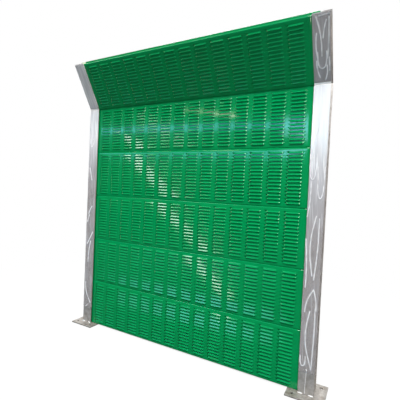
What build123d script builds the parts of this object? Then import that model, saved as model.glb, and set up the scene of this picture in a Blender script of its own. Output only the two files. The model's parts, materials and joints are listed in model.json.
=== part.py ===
"""One bay of a louvred steel noise barrier with a crown panel that leans over the road.

Frame: millimetres, +Z up, +X along the barrier, the louvred face looking towards -Y.
The origin is the middle of the underside of the left post's base plate.
"""

import os
from math import radians, tan

from build123d import *

# ---- The bay ----
BAY = 2510  # from post centre to post centre
PANEL_ROWS = 5  # upright panels between the posts
MODULE = 500  # height of one panel, from shoulder to shoulder
CROWN_LEAN = 30  # degrees that the arms lean forward from upright
ARM_LENGTH = 497  # along the arm's front flange, from the knee to the square-cut end

# ---- The posts' and arms' rolled H section ----
SECTION_DEPTH = 125  # from front flange face to back flange face
FLANGE_WIDTH = 125
FLANGE_THICKNESS = 9
WEB_THICKNESS = 6.5
ROOT_RADIUS = 8

# ---- Base plates ----
PLATE_WIDTH = 300
PLATE_THICKNESS = 12
ANCHOR_SPACING = 200  # between hole centres, both ways
ANCHOR_HOLE = 26

# ---- Welds ----
BASE_WELD_LEG = 5
BASE_WELD_RUN = 40  # length of each run at a flange's corners
KNEE_WELD_WIDTH = 14  # across the bead, measured on the flange faces
KNEE_WELD_RISE = 2  # height of the back bead over the two flange faces

# ---- Panels ----
PANEL_THICKNESS = 80
PANEL_END_CLEARANCE = 0.75  # between a panel's end and the post's root fillets
PANEL_FRONT_GAP = 11  # between an upright panel and the front flange's inner face
SHEET = 1.0
EDGE_RADIUS = 8  # outside radius of the long edges
FOLD_RADIUS = 2.5  # outside radius of the folds at the tongue and the groove
TONGUE_HEIGHT = 16
TONGUE_FOOT = 32  # width where it leaves the shoulders
TONGUE_TOP = 22
JOINT_CLEARANCE = 1.5  # between a tongue and the groove that covers it
CAP_THICKNESS = 2
CAP_LUG = 18  # folded lugs that the sheets are riveted to
CORE_THICKNESS = 50
CORE_CLEARANCE = 2
CROWN_SEAT = 0.3  # between the crown panel and the shoulder that it stands on

# ---- Louvres ----
LOUVRE_COLUMNS = 14
LOUVRE_ROWS = 15
LOUVRE_LENGTH = 120
LOUVRE_PITCH_X = 165
LOUVRE_PITCH_Z = 30
LOUVRE_HEIGHT = 15  # of the slot that a louvre is drawn from
LOUVRE_RISE = 8  # how far its lower lip stands out from the sheet

# ---- Packing film round the posts and arms ----
FILM = 0.8  # thickness of the wrapped layers together
FILM_FOOT_GAP = 180  # bare steel between the base plate and the film
FILM_TUCK = 14  # how far the film turns in behind the front flange
FILM_KNEE_GAP = 12  # bare steel each side of the knee on the posts
FILM_CUT = 4  # between the film's end and the arm's end

# ---- Worked out from the above ----
ROOT_DEPTH = SECTION_DEPTH - 2 * FLANGE_THICKNESS
CHANNEL_WIDTH = (FLANGE_WIDTH - WEB_THICKNESS) / 2
PANEL_LENGTH = BAY - WEB_THICKNESS - 2 * (ROOT_RADIUS + PANEL_END_CLEARANCE)
KNEE_HEIGHT = PLATE_THICKNESS + PANEL_ROWS * MODULE
FRONT = -SECTION_DEPTH / 2
PANEL_FACE = FRONT + FLANGE_THICKNESS + PANEL_FRONT_GAP
POSTS = {"left": 0, "right": BAY}
KNEE_RISE = SECTION_DEPTH * tan(radians(CROWN_LEAN / 2))
MIDDLE = PANEL_THICKNESS / 2

os.makedirs("parts", exist_ok=True)


def write(piece, name):
    """Name a finished piece and write it to its own file."""
    piece.part.label = name
    export_step(piece.part, f"parts/{name}.step")


def knee(x):
    """Plane with its origin on the front flange's face at the knee, its Z up the arm and its Y into the arm."""
    upright = Plane((x, FRONT, KNEE_HEIGHT), x_dir=(1, 0, 0), z_dir=(0, 0, 1))
    return upright.rotated((CROWN_LEAN, 0, 0))


def mitre(x):
    """Plane of the mitre cut, halfway between the post and the arm."""
    upright = Plane((x, FRONT, KNEE_HEIGHT), x_dir=(1, 0, 0), z_dir=(0, 0, 1))
    return upright.rotated((CROWN_LEAN / 2, 0, 0))


# ---- Rolled section, shared by the posts and the arms: web along Y, flanges along X ----
with BuildSketch() as h_section:
    Rectangle(FLANGE_WIDTH, SECTION_DEPTH)
    channel_middle = (FLANGE_WIDTH + WEB_THICKNESS) / 4
    with Locations((-channel_middle, 0), (channel_middle, 0)):
        Rectangle(CHANNEL_WIDTH, ROOT_DEPTH, mode=Mode.SUBTRACT)
    roots = [v for v in h_section.vertices() if abs(v.X) < WEB_THICKNESS]
    fillet(roots, ROOT_RADIUS)


# ---- Base plates, posts, arms and their welds ----
for side, x in POSTS.items():
    with BuildPart() as base_plate:
        with BuildSketch(Plane.XY):
            with Locations((x, 0)):
                Rectangle(PLATE_WIDTH, PLATE_WIDTH)
                with GridLocations(ANCHOR_SPACING, ANCHOR_SPACING, 2, 2):
                    Circle(ANCHOR_HOLE / 2, mode=Mode.SUBTRACT)
        extrude(amount=PLATE_THICKNESS)
    write(base_plate, f"base_plate_{side}")

    with BuildPart() as post:
        with BuildSketch(Plane((x, 0, PLATE_THICKNESS))):
            add(h_section.sketch)
        extrude(amount=KNEE_HEIGHT - PLATE_THICKNESS + 2 * KNEE_RISE)
        split(bisect_by=mitre(x), keep=Keep.BOTTOM)
    write(post, f"post_{side}")

    with BuildPart() as arm:
        with BuildSketch(knee(x).offset(-2 * KNEE_RISE)):
            with Locations((0, SECTION_DEPTH / 2)):
                add(h_section.sketch)
        extrude(amount=ARM_LENGTH + 2 * KNEE_RISE)
        split(bisect_by=mitre(x), keep=Keep.TOP)
    write(arm, f"arm_{side}")

    # Fillet runs at the corners of both flanges, and one along each side of the web.
    with BuildPart() as base_weld:
        for facing in (-1, 1):
            with BuildSketch(Plane.YZ.offset(x - FLANGE_WIDTH / 2)):
                with BuildLine():
                    face = facing * SECTION_DEPTH / 2
                    toe = face + facing * BASE_WELD_LEG
                    top = PLATE_THICKNESS + BASE_WELD_LEG
                    Polyline((face, PLATE_THICKNESS), (toe, PLATE_THICKNESS), (face, top), close=True)
                make_face()
            extrude(amount=BASE_WELD_RUN)
            with BuildSketch(Plane.YZ.offset(x + FLANGE_WIDTH / 2)):
                with BuildLine():
                    Polyline((face, PLATE_THICKNESS), (toe, PLATE_THICKNESS), (face, top), close=True)
                make_face()
            extrude(amount=-BASE_WELD_RUN)
            web_run = ROOT_DEPTH - 2 * ROOT_RADIUS
            with BuildSketch(Plane.XZ.offset(-web_run / 2)):
                with BuildLine():
                    face = x + facing * WEB_THICKNESS / 2
                    toe = face + facing * BASE_WELD_LEG
                    Polyline((face, PLATE_THICKNESS), (toe, PLATE_THICKNESS), (face, top), close=True)
                make_face()
            extrude(amount=web_run)
    write(base_weld, f"base_weld_{side}")

    # A fillet in the hollow of the knee at the front, and a raised cap over the seam at the back.
    half_bead = KNEE_WELD_WIDTH / 2
    bend = knee(x)
    back = Plane((x, -FRONT, KNEE_HEIGHT + KNEE_RISE), x_dir=(1, 0, 0), z_dir=(0, 0, 1))
    back_along = back.rotated((CROWN_LEAN, 0, 0))
    back_out = back.rotated((CROWN_LEAN / 2, 0, 0))
    bead_front = [
        Vector(x, FRONT, KNEE_HEIGHT),
        Vector(x, FRONT, KNEE_HEIGHT - half_bead),
        bend.from_local_coords((0, 0, half_bead)),
    ]
    bead_back = [
        back.origin,
        back.origin - back.z_dir * half_bead,
        back.origin + (back_out.y_dir * KNEE_WELD_RISE) - back_out.z_dir * half_bead / 2,
        back.origin + (back_out.y_dir * KNEE_WELD_RISE) + back_out.z_dir * half_bead / 2,
        back.origin + back_along.z_dir * half_bead,
    ]
    with BuildPart() as knee_weld:
        for outline in (bead_front, bead_back):
            with BuildSketch(Plane.YZ.offset(x - FLANGE_WIDTH / 2)):
                with BuildLine():
                    Polyline(*[(point.Y, point.Z) for point in outline], close=True)
                make_face()
            extrude(amount=FLANGE_WIDTH)
    write(knee_weld, f"knee_weld_{side}")

    # Film over the front flange: its face, both edges and, on the post, a tuck behind it.
    with BuildPart() as post_film:
        with BuildSketch(Plane((x, FRONT + FLANGE_THICKNESS / 2, PLATE_THICKNESS + FILM_FOOT_GAP))):
            Rectangle(FLANGE_WIDTH + 2 * FILM, FLANGE_THICKNESS + 2 * FILM)
            Rectangle(FLANGE_WIDTH, FLANGE_THICKNESS, mode=Mode.SUBTRACT)
            with Locations((0, FLANGE_THICKNESS / 2 + FILM)):
                Rectangle(FLANGE_WIDTH - 2 * FILM_TUCK, 4 * FILM, mode=Mode.SUBTRACT)
        extrude(amount=KNEE_HEIGHT - PLATE_THICKNESS - FILM_FOOT_GAP - FILM_KNEE_GAP)
    write(post_film, f"post_film_{side}")

    with BuildPart() as arm_film:
        with BuildSketch(bend.offset(FILM_KNEE_GAP)):
            with Locations((0, (FLANGE_THICKNESS - FILM) / 2)):
                Rectangle(FLANGE_WIDTH + 2 * FILM, FLANGE_THICKNESS + FILM)
            with Locations((0, FLANGE_THICKNESS / 2)):
                Rectangle(FLANGE_WIDTH, FLANGE_THICKNESS, mode=Mode.SUBTRACT)
        extrude(amount=ARM_LENGTH - FILM_KNEE_GAP - FILM_CUT)
    write(arm_film, f"arm_film_{side}")


# ---- One panel, made once in its own frame: X along it from its middle, Y in from its face, Z up ----
GROOVE_ROOF = TONGUE_HEIGHT + JOINT_CLEARANCE
half_foot = TONGUE_FOOT / 2
half_top = TONGUE_TOP / 2
panel_outline = [
    (0, 0),
    (0, MODULE),
    (MIDDLE - half_foot, MODULE),
    (MIDDLE - half_top, MODULE + TONGUE_HEIGHT),
    (MIDDLE + half_top, MODULE + TONGUE_HEIGHT),
    (MIDDLE + half_foot, MODULE),
    (PANEL_THICKNESS, MODULE),
    (PANEL_THICKNESS, 0),
    (MIDDLE + half_foot + JOINT_CLEARANCE, 0),
    (MIDDLE + half_top + JOINT_CLEARANCE, GROOVE_ROOF),
    (MIDDLE - half_top - JOINT_CLEARANCE, GROOVE_ROOF),
    (MIDDLE - half_foot - JOINT_CLEARANCE, 0),
]

with BuildSketch() as panel_sharp:
    with BuildLine():
        Polyline(*panel_outline, close=True)
    make_face()

with BuildSketch() as panel_section:
    add(panel_sharp.sketch)
    outer = [v for v in panel_section.vertices() if min(v.X, PANEL_THICKNESS - v.X) < EDGE_RADIUS]
    fillet(outer, EDGE_RADIUS)
    folds = [v for v in panel_section.vertices() if abs(v.X - MIDDLE) < half_foot + 2 * JOINT_CLEARANCE]
    fillet(folds, FOLD_RADIUS)

# The end caps fit inside the sheets, their corners cut back clear of the sheets' bends.
with BuildSketch() as cap_outline:
    offset(panel_sharp.sketch, amount=-SHEET, kind=Kind.INTERSECTION)
    corners = [v for v in cap_outline.vertices() if min(v.X, PANEL_THICKNESS - v.X) < EDGE_RADIUS]
    chamfer(corners, EDGE_RADIUS)
    folds = [v for v in cap_outline.vertices() if abs(v.X - MIDDLE) < half_foot + 2 * JOINT_CLEARANCE]
    convex = [v for v in folds if v.Y < EDGE_RADIUS or v.Y > MODULE + EDGE_RADIUS]
    chamfer(convex, FOLD_RADIUS)

with BuildPart() as skin:
    with BuildSketch(Plane.YZ.offset(-PANEL_LENGTH / 2)):
        add(panel_section.sketch)
        offset(panel_section.sketch, amount=-SHEET, mode=Mode.SUBTRACT)
    extrude(amount=PANEL_LENGTH)

# One drawn louvre: a sloping hood with closed ends, open underneath. Its top line is at Z = 0.
with BuildPart() as louvre:
    with BuildSketch(Plane.YZ.offset(-LOUVRE_LENGTH / 2)):
        with BuildLine():
            Polyline((0, 0), (-LOUVRE_RISE, -LOUVRE_HEIGHT), (0, -LOUVRE_HEIGHT), close=True)
        make_face()
    extrude(amount=LOUVRE_LENGTH)
    with BuildSketch(Plane.YZ.offset(-LOUVRE_LENGTH / 2 + SHEET)):
        with BuildLine():
            lip = -LOUVRE_RISE + SHEET
            top = -SHEET * LOUVRE_HEIGHT / LOUVRE_RISE
            Polyline((0, top), (lip, -LOUVRE_HEIGHT), (0, -LOUVRE_HEIGHT), close=True)
        make_face()
    extrude(amount=LOUVRE_LENGTH - 2 * SHEET, mode=Mode.SUBTRACT)

lowest_louvre = (MODULE - (LOUVRE_ROWS - 1) * LOUVRE_PITCH_Z + LOUVRE_HEIGHT) / 2
with BuildPart() as front_cover:
    add(skin.part)
    split(bisect_by=Plane.XZ.offset(-MIDDLE), keep=Keep.TOP)
    with BuildSketch(Plane.XZ):
        with Locations((0, MODULE / 2)):
            with GridLocations(LOUVRE_PITCH_X, LOUVRE_PITCH_Z, LOUVRE_COLUMNS, LOUVRE_ROWS):
                Rectangle(LOUVRE_LENGTH - 2 * SHEET, LOUVRE_HEIGHT - 2 * SHEET)
    extrude(amount=-2 * SHEET, mode=Mode.SUBTRACT)
    louvre_heights = [lowest_louvre + row * LOUVRE_PITCH_Z for row in range(LOUVRE_ROWS)]
    with GridLocations(LOUVRE_PITCH_X, 1, LOUVRE_COLUMNS, 1):
        with Locations(*[(0, 0, height) for height in louvre_heights]):
            add(louvre.part)

with BuildPart() as back_cover:
    add(skin.part)
    split(bisect_by=Plane.XZ.offset(-MIDDLE), keep=Keep.BOTTOM)

with BuildPart() as end_cap_left:
    with BuildSketch(Plane.YZ.offset(-PANEL_LENGTH / 2)):
        add(cap_outline.sketch)
    extrude(amount=CAP_THICKNESS)
    lug_height = MODULE - 2 * (EDGE_RADIUS + SHEET)
    for inner_face in (SHEET, PANEL_THICKNESS - SHEET - CAP_THICKNESS):
        with Locations((-PANEL_LENGTH / 2, inner_face, MODULE / 2)):
            Box(CAP_LUG, CAP_THICKNESS, lug_height, align=(Align.MIN, Align.MIN, Align.CENTER))

with BuildPart() as end_cap_right:
    mirror(end_cap_left.part, about=Plane.YZ)

core_bottom = GROOVE_ROOF + SHEET
with BuildPart() as wool_core:
    with Locations((0, MIDDLE, core_bottom)):
        Box(
            PANEL_LENGTH - 2 * (CAP_THICKNESS + CORE_CLEARANCE),
            CORE_THICKNESS,
            MODULE - SHEET - core_bottom - CORE_CLEARANCE,
            align=(Align.CENTER, Align.CENTER, Align.MIN),
        )

# ---- Where the panels stand ----
middle_x = BAY / 2
panel_places = {
    f"panel_{row + 1}": Location((middle_x, PANEL_FACE, PLATE_THICKNESS + row * MODULE))
    for row in range(PANEL_ROWS)
}

# The crown panel leans on the arms' front flanges and stands on the rounded shoulder below it.
bend = knee(middle_x)
shoulder = Vector(middle_x, PANEL_FACE + EDGE_RADIUS, KNEE_HEIGHT - EDGE_RADIUS)
crown_foot = bend.to_local_coords(shoulder).Z + EDGE_RADIUS + CROWN_SEAT
crown_origin = bend.from_local_coords((0, FLANGE_THICKNESS, crown_foot))
panel_places["crown_panel"] = Plane(crown_origin, x_dir=bend.x_dir, z_dir=bend.z_dir).location

panel_pieces = {
    "front_cover": front_cover,
    "back_cover": back_cover,
    "end_cap_left": end_cap_left,
    "end_cap_right": end_cap_right,
    "wool_core": wool_core,
}
for panel, place in panel_places.items():
    for piece, made in panel_pieces.items():
        with BuildPart() as placed:
            with Locations(place):
                add(made.part)
        write(placed, f"{panel}_{piece}")
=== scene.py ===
"""The looks of one bay of noise barrier: louvred green panels between galvanised posts in packing film."""
import json
import math

import bmesh
import bpy
from mathutils import Matrix, Vector, geometry, noise


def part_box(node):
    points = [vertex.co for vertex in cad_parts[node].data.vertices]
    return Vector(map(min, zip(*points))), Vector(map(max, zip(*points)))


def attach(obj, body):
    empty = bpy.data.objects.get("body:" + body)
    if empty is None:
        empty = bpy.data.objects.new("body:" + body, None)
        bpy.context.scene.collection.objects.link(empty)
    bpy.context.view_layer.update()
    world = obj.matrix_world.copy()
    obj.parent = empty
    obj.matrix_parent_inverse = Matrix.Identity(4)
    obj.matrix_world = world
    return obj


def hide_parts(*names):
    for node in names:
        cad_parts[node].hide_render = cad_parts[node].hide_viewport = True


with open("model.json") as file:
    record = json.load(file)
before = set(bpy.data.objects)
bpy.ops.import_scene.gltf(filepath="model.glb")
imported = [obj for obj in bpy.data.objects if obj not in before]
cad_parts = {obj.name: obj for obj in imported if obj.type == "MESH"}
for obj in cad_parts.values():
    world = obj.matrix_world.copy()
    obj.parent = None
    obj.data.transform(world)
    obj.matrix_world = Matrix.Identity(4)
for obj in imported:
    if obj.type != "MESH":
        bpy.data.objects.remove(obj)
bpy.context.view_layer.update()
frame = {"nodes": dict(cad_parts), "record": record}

MM = 0.001
SAME_SPOT = 0.01 * MM  # points closer than this are joined
CLOSE = 0.1 * MM  # how near a line an edge's ends have to be to belong to it
SHARP = 40  # degrees past which a fold counts as a sharp edge

# ---- Sizes that the frame doesn't give ----
LEAN = math.radians(30)  # of the crown panel and its arms, forward from upright
ROWS = 5
MODULE = 500 * MM
ARM_LENGTH = 497 * MM
FLANGE_WIDTH = 125 * MM
FLANGE_THICKNESS = 9 * MM
WEB_THICKNESS = 6.5 * MM
ROOT_RADIUS = 8 * MM
PLATE_TOP = 12 * MM
PANEL_THICKNESS = 80 * MM
SHEET = 1 * MM
EDGE_RADIUS = 8 * MM  # outside radius of a panel's long edges
TONGUE_HEIGHT = 16 * MM
TONGUE_FOOT = 32 * MM
TONGUE_TOP = 22 * MM
JOINT_CLEARANCE = 1.5 * MM  # between a tongue and the groove over it
CROWN_SEAT = 0.3 * MM  # between the crown panel and the shoulder under it
BASE_WELD_LEG = 5 * MM
BASE_WELD_RUN = 40 * MM
FILM_KNEE_GAP = 12 * MM  # bare steel on the arm above the knee
FILM_CUT = 4 * MM  # bare steel at the arm's end

# ---- The louvre pattern ----
LOUVRE_COLUMNS = 14
LOUVRE_ROWS = 15
LOUVRE_PITCH_X = 165 * MM
LOUVRE_PITCH_Z = 30 * MM
LOUVRE_LENGTH = 120 * MM
LOUVRE_END = 10 * MM
# From the sheet down to the lip, in mm up and out: a straight ramp between two soft bends.
LOUVRE_PROFILE = [
    (8.7, 0.0),
    (7.5, 0.0),
    (5.8, 0.5),
    (4.4, 1.3),
    (3.4, 1.9),
    (-4.4, 6.8),
    (-5.6, 7.5),
    (-7.5, 8.0),
]
# Each step of a louvre's run-out: its share of the end, and the share of the height left after it.
LOUVRE_RUNOUT = [(0.1, 1.0), (0.25, 0.86), (0.35, 0.42), (0.3, 0.0)]

# ---- How true the sheets are ----
BOW = 5.5 * MM  # how far the wool core swells a panel's face
STIFF_EDGE = 0.999  # share of a panel's half height at which its folded edge begins
WAVE_RISE = 0.4 * MM
WAVE_LENGTH = 330 * MM
WAVE_HEIGHT = 170 * MM
UNEVEN_DRAW = 0.012  # share of its rise by which one louvre can differ from another
OFF_GRID = 7.31  # keeps whole numbers away from the noise's own grid, where it is zero

# ---- Edges, beads and film ----
ROLLED_EDGE = 0.8 * MM
CUT_EDGE = 1 * MM
BEAD_RIPPLE = 3 * MM  # from one ripple of a bead to the next
RIPPLE_RISE = 0.1
BEAD_UNEVEN = 0.12
BEAD_END = 0.3  # size of a bead's blunt ends, as a share of its full size
BEAD_SEAT = 1 * MM  # how far a bead's middle lies off the two faces it joins
FILM_GAP = 0.4 * MM
FILM_THICKNESS = 0.2 * MM
FILM_CORNER = 2 * MM
FILM_TUCK = 12 * MM  # how far the film turns in behind the flange
FILM_COLUMN = 2 * MM
FILM_ROW = 5 * MM
FILM_SLACK = 1.6 * MM
FILM_RIPPLE = 0.8 * MM
CREASE_REACH = 20 * MM  # how far above and below its points a crease is felt
GATHER_WIDTH = 1.4  # width of the white line along a crease, milky film and painted highlight, as a share of the crease's own
STRAND_RADIUS = 2.6 * MM
STRAND_UNEVEN = 1.6 * MM
STRAND_OFF = 4 * MM  # how far the ends of the loose strand hang off the flange
STRAND_SWING = 5 * MM  # how much further its middle hangs
KNOT_RADIUS = 6 * MM

# ---- Places, from the frame ----
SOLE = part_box("panel_1_back_cover")[0].z
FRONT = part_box("post_left")[0].y
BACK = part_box("post_left")[1].y
LEFT_X = (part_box("base_plate_left")[0].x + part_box("base_plate_left")[1].x) / 2
RIGHT_X = (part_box("base_plate_right")[0].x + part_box("base_plate_right")[1].x) / 2
MIDDLE_X = (LEFT_X + RIGHT_X) / 2
PANEL_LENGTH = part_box("panel_1_back_cover")[1].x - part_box("panel_1_back_cover")[0].x
PANEL_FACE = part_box("panel_1_back_cover")[1].y - PANEL_THICKNESS
KNEE_Z = SOLE + ROWS * MODULE
FILM_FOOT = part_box("post_film_left")[0].z
FILM_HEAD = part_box("post_film_left")[1].z


def knee_frame(x):
    """The middle of the front flange's face at the knee, with Z up the arm and Y into the arm."""
    return Matrix.Translation((x, FRONT, KNEE_Z)) @ Matrix.Rotation(LEAN, 4, "X")


def panel_frames():
    """Each panel's place: X along it from its middle, Y in from its face, Z up from its foot."""
    frames = {}
    for row in range(ROWS):
        frames[f"panel_{row + 1}"] = Matrix.Translation((MIDDLE_X, PANEL_FACE, SOLE + row * MODULE))
    bend = knee_frame(MIDDLE_X)
    shoulder = Vector((MIDDLE_X, PANEL_FACE + EDGE_RADIUS, KNEE_Z - EDGE_RADIUS))
    foot = (bend.inverted() @ shoulder).z + EDGE_RADIUS + CROWN_SEAT
    frames["crown_panel"] = bend @ Matrix.Translation((0, FLANGE_THICKNESS, foot))
    return frames


# ---- Materials ----
# The sockets of a mix node: two colours and the mixed one, or two values.
COLOUR_A, COLOUR_B, MIXED_COLOUR = 6, 7, 2
VALUE_A, VALUE_B = 2, 3


def linear(hex_colour):
    """An sRGB hex colour as linear RGBA."""
    channels = [int(hex_colour[i : i + 2], 16) / 255 for i in (1, 3, 5)]
    return [c / 12.92 if c <= 0.04045 else ((c + 0.055) / 1.055) ** 2.4 for c in channels] + [1.0]


def add_node(tree, kind, inputs=None, **settings):
    """A new node with its settings, and its inputs set to values or linked to outputs."""
    node = tree.nodes.new(kind)
    for name, value in settings.items():
        setattr(node, name, value)
    for name, value in (inputs or {}).items():
        if isinstance(value, bpy.types.NodeSocket):
            tree.links.new(value, node.inputs[name])
        else:
            node.inputs[name].default_value = value
    return node


def new_material(name):
    """An empty material with its output, and the place on the object that its patterns follow."""
    material = bpy.data.materials.new(name)
    material.use_nodes = True
    tree = material.node_tree
    tree.nodes.clear()
    output = add_node(tree, "ShaderNodeOutputMaterial")
    place = add_node(tree, "ShaderNodeTexCoord").outputs["Object"]
    return material, tree, output, place


def set_ramp(ramp, stops):
    """Give a colour ramp its stops, as positions and hex colours."""
    elements = ramp.color_ramp.elements
    while len(elements) < len(stops):
        elements.new(0.5)
    for element, (position, colour) in zip(elements, stops):
        element.position = position
        element.color = linear(colour)


def powder_coated_sheet():
    """Gloss polyester powder coat with faint orange peel, which mirrors light in clean streaks."""
    material, tree, output, place = new_material("gloss_green_powder_coat")
    peel = add_node(tree, "ShaderNodeTexNoise", {"Vector": place, "Scale": 1 / (6 * MM), "Detail": 2.0})
    bump = add_node(tree, "ShaderNodeBump", {"Height": peel.outputs[0], "Strength": 0.01, "Distance": 1 * MM})
    cloud = add_node(tree, "ShaderNodeTexNoise", {"Vector": place, "Scale": 1 / (90 * MM), "Detail": 3.0})
    tone = add_node(tree, "ShaderNodeValToRGB", {"Fac": cloud.outputs[0]})
    set_ramp(tone, [(0.3, "#009450"), (0.7, "#009a54")])
    shader = add_node(
        tree,
        "ShaderNodeBsdfPrincipled",
        {"Base Color": tone.outputs[0], "Roughness": 0.08, "IOR": 1.5, "Normal": bump.outputs[0]},
    )
    tree.links.new(shader.outputs[0], output.inputs[0])
    return material


def galvanised_steel(name, dark, light, dust):
    """Hot-dip galvanised steel: dull zinc in grains of slightly different tone, dusty in patches."""
    material, tree, output, place = new_material(name)
    grains = add_node(tree, "ShaderNodeTexVoronoi", {"Vector": place, "Scale": 1 / (9 * MM)})
    tone = add_node(tree, "ShaderNodeValToRGB", {"Fac": grains.outputs["Color"]})
    set_ramp(tone, [(0.0, dark), (1.0, light)])
    cloud = add_node(tree, "ShaderNodeTexNoise", {"Vector": place, "Scale": 1 / (50 * MM), "Detail": 4.0})
    settled = add_node(
        tree,
        "ShaderNodeMapRange",
        {"Value": cloud.outputs[0], "From Min": 0.45, "From Max": 0.75},
    )
    dusty = add_node(
        tree,
        "ShaderNodeMix",
        {"Factor": settled.outputs[0], COLOUR_A: tone.outputs[0], COLOUR_B: linear(dust)},
        data_type="RGBA",
    )
    shader = add_node(
        tree,
        "ShaderNodeBsdfPrincipled",
        {"Base Color": dusty.outputs[MIXED_COLOUR], "Metallic": 0.25, "Roughness": 0.42},
    )
    tree.links.new(shader.outputs[0], output.inputs[0])
    return material


def painted_weld_highlight():
    """Weld beads painted near white as a painted highlight for their bright glints: matt and a little gritty.
    """
    material, tree, output, place = new_material("weld_bead_painted_highlight")
    # Real grit is finer than half a millimetre. It is drawn 2 mm across so that it shows.
    grit = add_node(tree, "ShaderNodeTexNoise", {"Vector": place, "Scale": 1 / (2 * MM)})
    bump = add_node(
        tree,
        "ShaderNodeBump",
        {"Height": grit.outputs[0], "Strength": 0.3, "Distance": 0.5 * MM},
    )
    tone = add_node(tree, "ShaderNodeValToRGB", {"Fac": grit.outputs[0]})
    # Near white: a painted highlight on the welds.
    set_ramp(tone, [(0.3, "#e4e4e2"), (0.7, "#f6f6f4")])
    shader = add_node(
        tree,
        "ShaderNodeBsdfPrincipled",
        {"Base Color": tone.outputs[0], "Roughness": 0.55, "Normal": bump.outputs[0]},
    )
    tree.links.new(shader.outputs[0], output.inputs[0])
    return material


def packing_film():
    """Polyethylene stretch film: clear in one layer and milky in several, with gloss, and painted white along
    every crease as gathered film and painted highlight.
    """
    material, tree, output, _ = new_material("polyethylene_stretch_film")
    wraps_and_glint = add_node(tree, "ShaderNodeAttribute", attribute_name="wraps_and_glint")
    tone = add_node(tree, "ShaderNodeValToRGB", {"Fac": wraps_and_glint.outputs["Fac"]})
    # The white end of this ramp is partly a painted highlight along the creases.
    set_ramp(tone, [(0.0, "#c8c0be"), (0.5, "#dedbdd"), (1.0, "#fffdfc")])
    veil = add_node(
        tree,
        "ShaderNodeMapRange",
        {"Value": wraps_and_glint.outputs["Fac"], "To Min": 0.3, "To Max": 0.97},
    )
    shader = add_node(
        tree,
        "ShaderNodeBsdfPrincipled",
        {"Base Color": tone.outputs[0], "Roughness": 0.2, "IOR": 1.5, "Alpha": veil.outputs[0]},
    )
    tree.links.new(shader.outputs[0], output.inputs[0])
    return material


def glass_cloth():
    """Black woven glass cloth round the mineral wool: matt, with a fine square weave."""
    material, tree, output, place = new_material("black_glass_cloth")
    # Real threads lie under 1 mm apart. They are drawn 3 mm apart so that they show.
    weave = add_node(tree, "ShaderNodeTexChecker", {"Vector": place, "Scale": 1 / (3 * MM)})
    weave.inputs["Color1"].default_value = linear("#101010")
    weave.inputs["Color2"].default_value = linear("#1a1a1a")
    shader = add_node(tree, "ShaderNodeBsdfPrincipled", {"Base Color": weave.outputs[0], "Roughness": 0.9})
    tree.links.new(shader.outputs[0], output.inputs[0])
    return material


# ---- Mesh helpers ----
def only(kind, geom):
    """The points, edges or faces among some geometry."""
    return [g for g in geom if isinstance(g, kind)]


def rim(bm, chosen):
    """The open edges whose two ends both satisfy chosen(co)."""
    return [e for e in bm.edges if e.is_boundary and all(chosen(v.co) for v in e.verts)]


def drawn_out(bm, edges, by):
    """Extrude a rim by a vector, and return the new rim."""
    made = bmesh.ops.extrude_edge_only(bm, edges=edges)["geom"]
    bmesh.ops.translate(bm, verts=only(bmesh.types.BMVert, made), vec=by)
    return only(bmesh.types.BMEdge, made)


def turned(bm, edges, centre, angle, steps):
    """Turn a rim about an axis along X, and return the new rim."""
    made = bmesh.ops.spin(bm, geom=edges, cent=centre, axis=(1, 0, 0), angle=angle, steps=steps)["geom_last"]
    return only(bmesh.types.BMEdge, made)


def finish_mesh(name, bm, place, material, cut=SHARP):
    """An object at the origin whose mesh holds its place, smooth but for folds sharper than cut degrees."""
    bmesh.ops.transform(bm, matrix=place, verts=bm.verts)
    for face in bm.faces:
        face.smooth = True
    for edge in bm.edges:
        if len(edge.link_faces) == 2 and edge.calc_face_angle(0) > math.radians(cut):
            edge.smooth = False
    mesh = bpy.data.meshes.new(name)
    bm.to_mesh(mesh)
    bm.free()
    piece = bpy.data.objects.new(name, mesh)
    bpy.context.scene.collection.objects.link(piece)
    piece.data.materials.append(material)
    return piece


def stands_for(piece, slot, *nodes):
    """The piece rides with the barrier and stands for the frame's nodes, which it hides. The slot is not
    used.
    """
    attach(piece, "root")
    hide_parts(*nodes)


# ---- Pressed panels ----
def louvre_cell(bm):
    """One drawn louvre in its patch of flat sheet: run out at both ends and open underneath."""
    straight = LOUVRE_LENGTH / 2 - LOUVRE_END
    profile = [bm.verts.new((-straight, -out * MM, up * MM)) for up, out in LOUVRE_PROFILE]
    strip = [bm.edges.new(pair) for pair in zip(profile, profile[1:])]
    far = drawn_out(bm, strip, (2 * straight, 0, 0))
    for edges, side in ((strip, -1), (far, 1)):
        height = 1
        for share, lower in LOUVRE_RUNOUT:
            edges = drawn_out(bm, edges, (side * share * LOUVRE_END, 0, 0))
            bmesh.ops.scale(bm, verts=list({v for e in edges for v in e.verts}), vec=(1, lower / height, 1))
            height = lower
    bmesh.ops.remove_doubles(bm, verts=bm.verts, dist=SAME_SPOT)
    outline = rim(bm, lambda co: abs(co.y) < SAME_SPOT)
    lip = min(v.co.z for e in outline for v in e.verts)
    outline.append(bm.edges.new({v for e in outline for v in e.verts if v.co.z < lip + SAME_SPOT}))
    patch = []
    steps = len(LOUVRE_PROFILE) - 1
    for side in (-1, 1):
        x = side * LOUVRE_PITCH_X / 2
        chain = [bm.verts.new((x, 0, LOUVRE_PITCH_Z * (0.5 - step / steps))) for step in range(steps + 1)]
        outline += [bm.edges.new(pair) for pair in zip(chain, chain[1:])]
        patch.append(chain)
    outline.append(bm.edges.new((patch[0][0], patch[1][0])))
    outline.append(bm.edges.new((patch[0][-1], patch[1][-1])))
    bmesh.ops.bridge_loops(bm, edges=outline)


def repeated(bm, geom, count, step):
    """Set copies of some geometry in a row."""
    for number in range(1, count):
        copy = bmesh.ops.duplicate(bm, geom=geom)["geom"]
        bmesh.ops.translate(bm, verts=only(bmesh.types.BMVert, copy), vec=Vector(step) * number)


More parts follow.
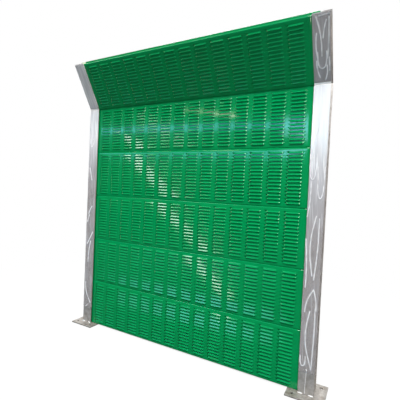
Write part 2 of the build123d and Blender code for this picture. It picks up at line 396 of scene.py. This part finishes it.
def louvred_face(bm):
    """The whole field of louvres, centred on the panel's face, with its plain ends."""
    louvre_cell(bm)
    first_x = -(LOUVRE_COLUMNS - 1) / 2 * LOUVRE_PITCH_X
    first_z = MODULE / 2 - (LOUVRE_ROWS - 1) / 2 * LOUVRE_PITCH_Z
    bmesh.ops.translate(bm, verts=bm.verts, vec=(first_x, 0, first_z))
    repeated(bm, bm.verts[:] + bm.edges[:] + bm.faces[:], LOUVRE_COLUMNS, (LOUVRE_PITCH_X, 0, 0))
    repeated(bm, bm.verts[:] + bm.edges[:] + bm.faces[:], LOUVRE_ROWS, (0, 0, LOUVRE_PITCH_Z))
    bmesh.ops.remove_doubles(bm, verts=bm.verts, dist=SAME_SPOT)
    for side in (-1, 1):
        end = side * LOUVRE_COLUMNS * LOUVRE_PITCH_X / 2
        edges = rim(bm, lambda co: abs(co.x - end) < CLOSE)
        drawn_out(bm, edges, (side * PANEL_LENGTH / 2 - end, 0, 0))


def plain_face(bm):
    """The flat face of a back sheet, in patches small enough to follow its swell."""
    bmesh.ops.create_grid(bm, x_segments=40, y_segments=15, size=0.5)
    upright = Matrix.Rotation(math.pi / 2, 4, "X")
    size = Matrix.Diagonal((PANEL_LENGTH, 1, LOUVRE_ROWS * LOUVRE_PITCH_Z, 1))
    bmesh.ops.transform(bm, verts=bm.verts, matrix=Matrix.Translation((0, 0, MODULE / 2)) @ size @ upright)


def fold_long_edges(bm):
    """Fold a face's top back over the shoulder and up the tongue, and its foot back up into the groove."""
    middle = PANEL_THICKNESS / 2
    half_field = LOUVRE_ROWS * LOUVRE_PITCH_Z / 2
    margin = MODULE / 2 - half_field - EDGE_RADIUS
    top = rim(bm, lambda co: co.z > MODULE / 2 + half_field - CLOSE)
    top = drawn_out(bm, top, (0, 0, margin))
    top = turned(bm, top, (0, EDGE_RADIUS, MODULE - EDGE_RADIUS), -math.pi / 2, 5)
    top = drawn_out(bm, top, (0, middle - TONGUE_FOOT / 2 - EDGE_RADIUS, 0))
    top = drawn_out(bm, top, (0, (TONGUE_FOOT - TONGUE_TOP) / 2, TONGUE_HEIGHT))
    drawn_out(bm, top, (0, TONGUE_TOP / 2, 0))
    foot = rim(bm, lambda co: co.z < MODULE / 2 - half_field + CLOSE)
    foot = drawn_out(bm, foot, (0, 0, -margin))
    foot = turned(bm, foot, (0, EDGE_RADIUS, EDGE_RADIUS), math.pi / 2, 5)
    foot = drawn_out(bm, foot, (0, middle - TONGUE_FOOT / 2 - JOINT_CLEARANCE - EDGE_RADIUS, 0))
    foot = drawn_out(bm, foot, (0, (TONGUE_FOOT - TONGUE_TOP) / 2, TONGUE_HEIGHT + JOINT_CLEARANCE))
    drawn_out(bm, foot, (0, TONGUE_TOP / 2 + JOINT_CLEARANCE, 0))
    bmesh.ops.remove_doubles(bm, verts=bm.verts, dist=SAME_SPOT)


def swell(bm, frame_of_panel, bow, seed):
    """The face swells between its stiff edges, with faint waves from the press and louvres drawn unevenly."""
    half_height = MODULE / 2 - EDGE_RADIUS
    for v in bm.verts:
        up = (v.co.z - MODULE / 2) / half_height
        along = v.co.x / (PANEL_LENGTH / 2)
        if abs(up) > STIFF_EDGE:
            continue
        column = round(v.co.x / LOUVRE_PITCH_X + 0.5)
        row = round((v.co.z - MODULE / 2) / LOUVRE_PITCH_Z)
        v.co.y *= 1 + UNEVEN_DRAW * noise.noise(Vector((column, row, seed)) * OFF_GRID)
        at = frame_of_panel @ v.co
        held = (1 - up**2) * (1 - along**8)
        wave = noise.noise(Vector((at.x / WAVE_LENGTH, at.z / WAVE_HEIGHT, seed)))
        v.co.y -= (bow + WAVE_RISE * wave) * held


def sheet_cover(node, louvred, place, material, seed, bow):
    """A panel's pressed front or plain back sheet, with its real thickness."""
    bm = bmesh.new()
    if louvred:
        louvred_face(bm)
    else:
        plain_face(bm)
    fold_long_edges(bm)
    swell(bm, place, bow, seed)
    bmesh.ops.recalc_face_normals(bm, faces=bm.faces)
    outward = max(bm.faces, key=lambda f: abs(f.normal.y))
    if outward.normal.y > 0:
        bmesh.ops.reverse_faces(bm, faces=bm.faces)
    if not louvred:
        bmesh.ops.scale(bm, verts=bm.verts, vec=(1, -1, 1))
        bmesh.ops.translate(bm, verts=bm.verts, vec=(0, PANEL_THICKNESS, 0))
        bmesh.ops.reverse_faces(bm, faces=bm.faces)
    piece = finish_mesh(node + "_sheet", bm, place, material, cut=25)
    wall = piece.modifiers.new("wall", "SOLIDIFY")
    wall.thickness = SHEET
    wall.offset = -1
    stands_for(piece, "green_sheet", node)


# ---- Steelwork ----
def eased_copy(node, material, slot, ease):
    """A copy of a frame node whose sharp edges are eased, as rolling and dipping leave them."""
    bm = bmesh.new()
    bm.from_mesh(frame["nodes"][node].data)
    bmesh.ops.remove_doubles(bm, verts=bm.verts, dist=SAME_SPOT)
    bmesh.ops.dissolve_limit(bm, angle_limit=math.radians(1), verts=bm.verts, edges=bm.edges)
    sharp = [e for e in bm.edges if len(e.link_faces) == 2 and e.calc_face_angle(0) > math.radians(SHARP)]
    bmesh.ops.bevel(
        bm,
        geom=sharp,
        affect="EDGES",
        offset=ease,
        segments=2,
        profile=0.5,
        material=-1,
        clamp_overlap=True,
    )
    piece = finish_mesh(node + "_steel", bm, Matrix(), material)
    stands_for(piece, slot, node)


def bead(bm, start, end, radius, seed):
    """One run of weld: a rod laid along the joint, in overlapping ripples, with rounded ends."""
    start = Vector(start)
    run = Vector(end) - start
    steps = max(6, round(run.length / (BEAD_RIPPLE / 3)))
    ring = bmesh.ops.create_circle(bm, segments=10, radius=radius)["verts"]
    edges = list({e for v in ring for e in v.link_edges})
    bmesh.ops.scale(bm, verts=ring, vec=(BEAD_END, BEAD_END, 1))
    verts = ring[:]
    first_edges = edges
    previous = BEAD_END
    for step in range(1, steps + 1):
        along = step / steps
        ripple = 1 + RIPPLE_RISE * math.sin(2 * math.pi * along * run.length / BEAD_RIPPLE)
        ripple += BEAD_UNEVEN * noise.noise(Vector((along * 9, seed, 0)))
        size = ripple * min(1, BEAD_END + 6 * min(along, 1 - along))
        edges = drawn_out(bm, edges, (0, 0, run.length / steps))
        ring = list({v for e in edges for v in e.verts})
        bmesh.ops.scale(bm, verts=ring, vec=(size / previous, size / previous, 1))
        verts += ring
        previous = size
    bmesh.ops.holes_fill(bm, edges=first_edges + edges, sides=0)
    turn = run.to_track_quat("Z", "Y").to_matrix().to_4x4()
    bmesh.ops.transform(bm, verts=verts, matrix=Matrix.Translation(start) @ turn)


def base_welds(node, x, material):
    """Short runs at the corners of both flanges, and one down each side of the web."""
    bm = bmesh.new()
    height = PLATE_TOP + BEAD_SEAT
    for facing, face in ((-1, FRONT), (1, BACK)):
        for side in (-1, 1):
            outer = x + side * FLANGE_WIDTH / 2
            y = face + facing * BEAD_SEAT
            bead(bm, (outer, y, height), (outer - side * BASE_WELD_RUN, y, height), BASE_WELD_LEG, outer)
    for side in (-1, 1):
        web = x + side * (WEB_THICKNESS / 2 + BEAD_SEAT)
        reach = BACK - FLANGE_THICKNESS - ROOT_RADIUS
        bead(bm, (web, -reach, height), (web, reach, height), BASE_WELD_LEG, web)
    bmesh.ops.recalc_face_normals(bm, faces=bm.faces)
    piece = finish_mesh(node + "_beads", bm, Matrix(), material)
    stands_for(piece, "weld_bead", node)


# ---- Packing film ----
def wrapped(across, depth):
    """Where a point of the film lies on its way round the front flange, and which way is out."""
    corner = FILM_CORNER
    half = FLANGE_WIDTH / 2 + FILM_GAP
    side = math.copysign(1, across)
    arc = corner * math.pi / 2
    run = abs(across) - (half - corner)
    if run <= 0:
        return Vector((across, 0)), Vector((0, -1))
    if run <= arc:
        angle = run / corner
        out = Vector((side * math.sin(angle), -math.cos(angle)))
        return Vector((side * (half - corner), corner)) + out * corner, out
    run -= arc
    if run <= depth - 2 * corner:
        return Vector((side * half, corner + run)), Vector((side, 0))
    run -= depth - 2 * corner
    if run <= arc:
        angle = math.pi / 2 + run / corner
        out = Vector((side * math.sin(angle), -math.cos(angle)))
        return Vector((side * (half - corner), depth - corner)) + out * corner, out
    run -= arc
    return Vector((side * (half - corner - run), depth)), Vector((0, 1))


def distance_to_line(spot, points):
    """How far a point is from a line of points."""
    gaps = []
    for a, b in zip(points, points[1:]):
        near, along = geometry.intersect_point_line(spot, a, b)
        near = a if along < 0 else b if along > 1 else near.to_2d()
        gaps.append((spot - near).length)
    return min(gaps)


def loose_end(bm, wraps_and_glint, top, bottom):
    """A loose end of film, rolled into a strand that hangs from a small knot in front of the flange."""
    strand = bmesh.ops.create_grid(bm, x_segments=8, y_segments=60, size=0.5)["verts"]
    for v in strand:
        down = v.co.y + 0.5
        round_it = 2 * math.pi * v.co.x
        radius = STRAND_RADIUS + STRAND_UNEVEN * noise.noise(Vector((down * 14, math.sin(round_it), 0)))
        centre = Vector(top).lerp(Vector(bottom), down) * MM
        out = STRAND_OFF + STRAND_SWING * math.sin(math.pi * down)
        v.co = (centre.x + radius * math.sin(round_it), -radius * math.cos(round_it) - out, centre.y)
        v[wraps_and_glint] = 1
    bmesh.ops.remove_doubles(bm, verts=strand, dist=SAME_SPOT)
    knot = bmesh.ops.create_icosphere(bm, subdivisions=2, radius=KNOT_RADIUS)["verts"]
    bmesh.ops.translate(bm, verts=knot, vec=(top[0] * MM, -KNOT_RADIUS, top[1] * MM))
    for v in knot:
        v[wraps_and_glint] = 1


def patches(across, up, width, height, seed, lean=0):
    """Noise over the film, in patches of about a width and a height that lean sideways as they go up."""
    return noise.noise(Vector(((across + lean * up) / width, up / height, seed)))


def crease_at(spot, lines):
    """How high the creases stand at a point of the film, and how strongly they paint it white there, as
    gathered film and painted highlight.
    """
    ridge = 0
    gathered_and_glint = 0
    for points, height, width in lines:
        low = min(p.y for p in points) - CREASE_REACH
        high = max(p.y for p in points) + CREASE_REACH
        if low < spot.y < high:
            gap = distance_to_line(spot, points)
            ridge = max(ridge, height * math.exp(-((gap / width) ** 2)))
            gathered_and_glint = max(gathered_and_glint, math.exp(-((gap / (GATHER_WIDTH * width)) ** 2)))
    return ridge, gathered_and_glint


def layer_level(up, layers):
    """How thickly the film is layered at a height."""
    for (low, low_level), (high, high_level) in zip(layers, layers[1:]):
        if low * MM <= up <= high * MM:
            return low_level + (high_level - low_level) * (up / MM - low) / (high - low)
    return 0.0


def film_sleeve(node, place, span, creases, layers, seed, material, loose=1.0, strand=None):
    """Film wound round a front flange, with its creases, its slack, its layers and any loose end."""
    depth = FLANGE_THICKNESS + 2 * FILM_GAP
    reach = FLANGE_WIDTH / 2 + depth + FILM_TUCK
    foot, head = span
    lines = []
    for points, height, width in creases:
        lines.append(([Vector(p) * MM for p in points], height * MM, width * MM))
    bm = bmesh.new()
    columns = round(2 * reach / FILM_COLUMN)
    rows = round((head - foot) / FILM_ROW)
    bmesh.ops.create_grid(bm, x_segments=columns, y_segments=rows, size=0.5)
    wraps_and_glint = bm.verts.layers.float.new("wraps_and_glint")
    for v in bm.verts:
        across = v.co.x * 2 * reach
        up = foot + (v.co.y + 0.5) * (head - foot)
        slack = max(0, patches(across, up, 35 * MM, 160 * MM, seed) + 0.6)
        fine = max(0, patches(across, up, 12 * MM, 60 * MM, seed + 9, lean=0.15) + 0.4)
        lift = (FILM_SLACK * slack + FILM_RIPPLE * fine) * loose
        ridge, gathered_and_glint = 0, 0
        if abs(across) < FLANGE_WIDTH / 2 + depth / 2:
            ridge, gathered_and_glint = crease_at(Vector((across, up)), lines)
        spot, out = wrapped(across, depth)
        spot += out * (FILM_GAP + lift + ridge)
        v.co = Vector((spot.x, spot.y, up))
        patchy = layer_level(up, layers) + 0.15 * patches(across, up, 30 * MM, 200 * MM, seed + 4)
        pleat = patches(across, up, 9 * MM, 220 * MM, seed + 6, lean=0.06)
        patchy += 0.6 * loose * max(0, pleat - 0.1)
        # Along each crease the film is painted white: partly gathered film, partly a painted highlight.
        gathered_and_glint *= 1.05 + 0.5 * patches(across, up, 20 * MM, 40 * MM, seed + 5)
        v[wraps_and_glint] = min(1, max(0, patchy, gathered_and_glint))
    if strand:
        loose_end(bm, wraps_and_glint, *strand)
    bmesh.ops.recalc_face_normals(bm, faces=bm.faces)
    front = max(bm.faces, key=lambda f: abs(f.normal.y) - abs(f.calc_center_median().x))
    if front.normal.y > 0:
        bmesh.ops.reverse_faces(bm, faces=bm.faces)
    piece = finish_mesh(node + "_sleeve", bm, place, material, cut=180)
    wall = piece.modifiers.new("wall", "SOLIDIFY")
    wall.thickness = FILM_THICKNESS
    stands_for(piece, "packing_film", node)


def long_fold(top, bottom, bulge=0, height=2.5, width=4):
    """A crease between two points of the film, in mm across and up, that bows sideways by its bulge."""
    steps = 8
    points = []
    for step in range(steps + 1):
        down = step / steps
        across = top[0] + (bottom[0] - top[0]) * down + bulge * math.sin(math.pi * down)
        points.append((across, top[1] + (bottom[1] - top[1]) * down))
    return points, height, width


def hanging_loop(middle, opening, top, bottom, height=2.5, width=4):
    """A crease that hangs like a slack loop, in mm: its middle and opening across, its top and bottom up."""
    steps = 12
    points = []
    for step in range(steps + 1):
        turn = math.pi * step / steps
        drop = math.sqrt(max(0, math.sin(turn)))
        points.append((middle - opening / 2 * math.cos(turn), top - (top - bottom) * drop))
    return points, height, width


RIGHT_POST_CREASES = [
    long_fold((-15, 2150), (-40, 1920), -10),
    hanging_loop(-35, 50, 1950, 1750),
    hanging_loop(30, 50, 1850, 1600),
    long_fold((-45, 1740), (-60, 1450), 8),
    long_fold((10, 1460), (0, 980), -30),
    long_fold((35, 1440), (15, 950), 8),
    long_fold((-60, 1270), (-45, 880), 6),
    long_fold((20, 870), (-40, 680), -15),
    long_fold((20, 870), (45, 700), 8),
    long_fold((0, 690), (32, 225), -40),
    long_fold((40, 720), (32, 225), 4),
    hanging_loop(-35, 40, 320, 240, 1.5),
]
LEFT_POST_CREASES = [
    hanging_loop(-20, 45, 2170, 2080, width=6),
    long_fold((-35, 1830), (0, 1690), width=6),
    long_fold((15, 1380), (-30, 1290), -5, width=6),
    long_fold((-20, 1280), (-45, 1200), width=6),
    long_fold((45, 1080), (-35, 940), width=6),
    long_fold((15, 970), (-15, 730), -8, width=6),
    long_fold((-40, 480), (45, 250), -25, width=5),
    long_fold((5, 220), (-30, 190), width=5),
]
# The arm's creases are measured up the arm from the knee.
RIGHT_ARM_CREASES = [
    long_fold((-35, 360), (-30, 180), -8),
    hanging_loop(2, 65, 230, 110),
    long_fold((54, 455), (40, 180), 4),
    long_fold((-35, 470), (0, 200), 12),
    long_fold((-20, 472), (58, 477), -2, 1.5),
    long_fold((35, 440), (12, 325), -4, 2),
    long_fold((36, 130), (24, 25), 8),
    long_fold((54, 185), (54, 90), 0, 2),
    long_fold((-38, 170), (-15, 45), -8, 1.5),
]
# The top and the bottom of the rolled end that hangs on the right post, in mm across and up.
LOOSE_END = ((-1, 215), (-6, 17))
# How thickly the film is layered, from 0 to 1, by height in mm. The right post's film whitening toward its
# top is also a painted reflection of bright sky.
RIGHT_POST_LAYERS_AND_SHEEN = [(0, 0), (1200, 0.08), (1500, 0.33), (1700, 0.5), (1900, 0.72), (2100, 0.95), (2600, 1)]
LEFT_POST_LAYERS = [(0, 0), (1200, 0.15), (1500, 0.1), (1800, 0.3), (2000, 0.58), (2200, 0.85), (2600, 0.8)]
RIGHT_ARM_LAYERS = [(0, 0.2), (600, 0.2)]
LEFT_ARM_LAYERS = [(0, 0.75), (600, 0.7)]

green = powder_coated_sheet()
steel = galvanised_steel("hot_dip_galvanised_section", "#bbb5b0", "#cfcac6", "#a29b93")
plate = galvanised_steel("hot_dip_galvanised_plate", "#9a958e", "#b5b0a9", "#857c72")
cloth = glass_cloth()
film = packing_film()
# The weld beads' near white is a painted highlight.
paint = painted_weld_highlight()

for seed, (panel, place) in enumerate(panel_frames().items()):
    bow = 0 if panel == "crown_panel" else BOW
    sheet_cover(f"{panel}_front_cover", True, place, green, seed, bow)
    sheet_cover(f"{panel}_back_cover", False, place, green, seed + 20, bow)
for side, x in (("left", LEFT_X), ("right", RIGHT_X)):
    eased_copy(f"post_{side}", steel, "galvanised_section", ROLLED_EDGE)
    eased_copy(f"arm_{side}", steel, "galvanised_section", ROLLED_EDGE)
    eased_copy(f"base_plate_{side}", plate, "galvanised_plate", CUT_EDGE)
    base_welds(f"base_weld_{side}", x, paint)
post_span = (FILM_FOOT, FILM_HEAD)
left_post = Matrix.Translation((LEFT_X, FRONT, 0))
right_post = Matrix.Translation((RIGHT_X, FRONT, 0))
film_sleeve("post_film_left", left_post, post_span, LEFT_POST_CREASES, LEFT_POST_LAYERS, 3, film)
film_sleeve(
    "post_film_right",
    right_post,
    post_span,
    RIGHT_POST_CREASES,
    RIGHT_POST_LAYERS_AND_SHEEN,
    5,
    film,
    strand=LOOSE_END,
)
arm_span = (FILM_KNEE_GAP, ARM_LENGTH - FILM_CUT)
film_sleeve("arm_film_left", knee_frame(LEFT_X), arm_span, [], LEFT_ARM_LAYERS, 7, film, loose=0.4)
film_sleeve("arm_film_right", knee_frame(RIGHT_X), arm_span, RIGHT_ARM_CREASES, RIGHT_ARM_LAYERS, 8, film)

finishes = {
    "green_sheet": green,
    "galvanised_section": steel,
    "galvanised_plate": plate,
    "weld_bead": paint,
    "packing_film": film,
    "black_glass_cloth": cloth,
}
# End caps, cores and knee welds show in their own shape, so every node of the frame gets its finish.
slots = {part["node"]: part["material_slot"] for part in frame["record"]["subparts"]}
for name, cad_piece in frame["nodes"].items():
    cad_piece.data.materials.clear()
    cad_piece.data.materials.append(finishes[slots[name]])


# ---- Floor, light and camera ----
FLOOR_HALF = 40
FOOT_SHADE = 143 * MM  # from a post's middle, where the floor's painted shade under the base plate ends
FOOT_CLEAR = 153 * MM
NEAR_FLOOR = 1.5  # from the barrier's middle, where the floor starts to turn plain white
FAR_FLOOR = 4.5
NEAR_WHITE = 0.82  # share of plain white in the near floor
HALL_LIGHT = 0.18  # strength of the light from all around
DIM_HALL = 0.06  # what gloss shows of the hall in front
WALL = (MIDDLE_X, 0, 1.4)  # the barrier's middle, which most lamps face
EYE = (2.9323, -2.7452, 1.6142)
LENS = 28.86
SENSOR = 36
TURN_LEFT = math.radians(28.823)
LOOK_DOWN = math.radians(1.525)
TILT = math.radians(2.663)


def pale_floor():
    """A floor that looks white, keeps the shadow near the barrier, is painted dark as shade under the base
    plates and is darker to gloss in front of it.
    """
    floor_mesh = bpy.data.meshes.new("floor")
    bm = bmesh.new()
    bmesh.ops.create_grid(bm, x_segments=1, y_segments=1, size=FLOOR_HALF)
    bm.to_mesh(floor_mesh)
    bm.free()
    floor = bpy.data.objects.new("floor", floor_mesh)
    bpy.context.scene.collection.objects.link(floor)
    material, tree, output, place = new_material("pale_floor")
    path = add_node(tree, "ShaderNodeLightPath")
    tone = add_node(
        tree,
        "ShaderNodeMix",
        {"Factor": path.outputs["Is Camera Ray"], COLOUR_A: linear("#7d7d7d"), COLOUR_B: linear("#f4f4f4")},
        data_type="RGBA",
    )
    centred = add_node(tree, "ShaderNodeMapping", {"Vector": place, "Location": (-MIDDLE_X, 0, 0)})
    span = add_node(tree, "ShaderNodeVectorMath", {0: centred.outputs[0]}, operation="ABSOLUTE")
    foot = add_node(
        tree,
        "ShaderNodeVectorMath",
        {0: span.outputs[0], 1: (RIGHT_X - MIDDLE_X, 0, 0)},
        operation="DISTANCE",
    )
    clear = add_node(
        tree,
        "ShaderNodeMapRange",
        {"Value": foot.outputs["Value"], "From Min": FOOT_SHADE, "From Max": FOOT_CLEAR},
        interpolation_type="SMOOTHSTEP",
    )
    # Under the base plates the floor is painted dark: painted shade seen down the bolt holes.
    floor_with_painted_shade = add_node(
        tree,
        "ShaderNodeMix",
        {"Factor": clear.outputs[0], COLOUR_A: linear("#2e2c2a"), COLOUR_B: tone.outputs[MIXED_COLOUR]},
        data_type="RGBA",
    )
    depth = add_node(tree, "ShaderNodeSeparateXYZ", {0: place})
    beside = add_node(
        tree,
        "ShaderNodeMapRange",
        {"Value": depth.outputs["Y"], "From Min": 0, "From Max": 0.1},
    )
    hall_floor = add_node(
        tree,
        "ShaderNodeMix",
        {"Factor": beside.outputs[0], COLOUR_A: linear("#383838"), COLOUR_B: linear("#f4f4f4")},
        data_type="RGBA",
    )
    damp = add_node(
        tree,
        "ShaderNodeMix",
        {
            "Factor": path.outputs["Is Glossy Ray"],
            COLOUR_A: floor_with_painted_shade.outputs[MIXED_COLOUR],
            COLOUR_B: hall_floor.outputs[MIXED_COLOUR],
        },
        data_type="RGBA",
    )
    lit = add_node(tree, "ShaderNodeBsdfDiffuse", {"Color": damp.outputs[MIXED_COLOUR]})
    white = add_node(tree, "ShaderNodeEmission", {"Color": linear("#ffffff"), "Strength": 1.0})
    away = add_node(tree, "ShaderNodeVectorMath", {0: centred.outputs[0]}, operation="LENGTH")
    fade = add_node(
        tree,
        "ShaderNodeMapRange",
        {
            "Value": away.outputs["Value"],
            "From Min": NEAR_FLOOR,
            "From Max": FAR_FLOOR,
            "To Min": NEAR_WHITE,
        },
        interpolation_type="SMOOTHSTEP",
    )
    open_floor = add_node(
        tree,
        "ShaderNodeMath",
        {0: fade.outputs[0], 1: clear.outputs[0]},
        operation="MULTIPLY",
    )
    seen = add_node(
        tree,
        "ShaderNodeMath",
        {0: open_floor.outputs[0], 1: path.outputs["Is Camera Ray"]},
        operation="MULTIPLY",
    )
    mix = add_node(tree, "ShaderNodeMixShader", {0: seen.outputs[0], 1: lit.outputs[0], 2: white.outputs[0]})
    tree.links.new(mix.outputs[0], output.inputs[0])
    floor_mesh.materials.append(material)


def surroundings():
    """A white background, which gloss shows too where it lies behind the barrier, and a dim hall in front."""
    world = bpy.data.worlds.new("studio")
    world.use_nodes = True
    tree = world.node_tree
    tree.nodes.clear()
    path = add_node(tree, "ShaderNodeLightPath")
    direction = add_node(tree, "ShaderNodeTexCoord").outputs["Generated"]
    across = add_node(tree, "ShaderNodeSeparateXYZ", {0: direction})
    hall = add_node(
        tree,
        "ShaderNodeMapRange",
        {"Value": across.outputs["Y"], "From Min": -0.15, "From Max": 0.3, "To Min": DIM_HALL, "To Max": 1.0},
    )
    mirrored = add_node(
        tree,
        "ShaderNodeMath",
        {0: path.outputs["Is Glossy Ray"], 1: path.outputs["Is Transmission Ray"]},
        operation="MAXIMUM",
    )
    unseen = add_node(
        tree,
        "ShaderNodeMix",
        {"Factor": mirrored.outputs[0], VALUE_A: HALL_LIGHT, VALUE_B: hall.outputs[0]},
    )
    level = add_node(
        tree,
        "ShaderNodeMix",
        {"Factor": path.outputs["Is Camera Ray"], VALUE_A: unseen.outputs[0], VALUE_B: 1.0},
    )
    shade = add_node(tree, "ShaderNodeBackground", {"Color": linear("#ffffff"), "Strength": level.outputs[0]})
    add_node(tree, "ShaderNodeOutputWorld", {"Surface": shade.outputs[0]})
    bpy.context.scene.world = world


def soft_box(name, place, aim, width, height, power, colour="#ffffff", spread=180):
    """A flat rectangular lamp at a place, facing its aim, its beam kept within some degrees."""
    lamp = bpy.data.lights.new(name, "AREA")
    lamp.shape = "RECTANGLE"
    lamp.size = width
    lamp.size_y = height
    lamp.energy = power
    lamp.color = linear(colour)[:3]
    lamp.spread = math.radians(spread)
    box = bpy.data.objects.new(name, lamp)
    turn = (Vector(aim) - Vector(place)).to_track_quat("-Z", "Y").to_matrix().to_4x4()
    box.matrix_world = Matrix.Translation(place) @ turn
    bpy.context.scene.collection.objects.link(box)
    return box


def strip_light(name, start, end, aim, width, power, colour="#ffffff", spread=180):
    """A long lamp between two points, its face turned as near to its aim as its run allows."""
    start, end, aim = Vector(start), Vector(end), Vector(aim)
    middle = (start + end) / 2
    along = (end - start).normalized()
    back = (middle - aim).normalized()
    back = (back - along * back.dot(along)).normalized()
    lamp = soft_box(name, middle, aim, (end - start).length, width, power, colour, spread)
    turn = Matrix((along, back.cross(along), back)).transposed()
    lamp.matrix_world = Matrix.Translation(middle) @ turn.to_4x4()


def camera():
    """A camera at a standing person's height, in front of the right post and turned to the left."""
    lens = bpy.data.cameras.new("camera")
    lens.lens = LENS
    lens.sensor_width = SENSOR
    lens.clip_end = 100
    eye = bpy.data.objects.new("camera", lens)
    turn = Matrix.Rotation(TURN_LEFT, 4, "Z")
    dip = Matrix.Rotation(math.pi / 2 - LOOK_DOWN, 4, "X")
    roll = Matrix.Rotation(TILT, 4, "Z")
    eye.matrix_world = Matrix.Translation(EYE) @ turn @ dip @ roll
    bpy.context.scene.collection.objects.link(eye)
    bpy.context.scene.camera = eye


pale_floor()
surroundings()
# Daylight from above lights the faces. The strips and the windows show mirrored in the louvres.
soft_box("skylight", (4.2, -6.2, 11.7), WALL, width=5, height=5, power=1640)
soft_box("right_skylight", (5.7, -3.2, 10.9), WALL, width=3, height=3, power=226)
soft_box("left_window", (-6.5, -1.1, 4.2), WALL, width=2, height=4, power=150, colour="#fff0e0")
strip_light(
    "far_window",
    (-4.5, -9.0, 5.65),
    (-2.0, -9.0, 4.8),
    aim=(1.4, 0, 5.2),
    width=0.22,
    power=11,
    colour="#fff4e0",
    spread=84,
)
strip_light(
    "roof_strip",
    (-3.6, -10.3, 9.72),
    (-11.4, 0.65, 13.6),
    WALL,
    width=0.65,
    power=345,
    colour="#fbfbff",
)
strip_light(
    "high_strip",
    (0.94, -5.27, 4.74),
    (-3.55, -3.66, 3.4),
    aim=(1.5, 0, -0.3),
    width=0.52,
    power=3,
    colour="#8ad4ff",
    spread=42,
)
strip_light(
    "far_strip",
    (1.0, -14.0, 4.9),
    (-16.0, -14.0, 5.65),
    WALL,
    width=0.7,
    power=225,
    colour="#7bd0ff",
)
strip_light(
    "far_glow",
    (2.0, -14.2, 4.8),
    (-17.0, -14.2, 5.5),
    WALL,
    width=2.6,
    power=80,
    colour="#7bd0ff",
)
soft_box(
    "near_window",
    (1.9, -2.9, 2.72),
    aim=(2.4, 0, 2.4),
    width=0.9,
    height=0.5,
    power=0.3,
    colour="#a0dcff",
    spread=34,
)
soft_box(
    "low_spot",
    (3.6, -4.2, 0.6),
    aim=(2.6, -0.2, 2.75),
    width=0.5,
    height=0.3,
    power=0.07,
    colour="#fff1e4",
    spread=11,
)
soft_box("back_light", (-1.5, 7, 6), WALL, width=5, height=5, power=330)
camera()
bpy.context.scene.view_settings.view_transform = "Standard"
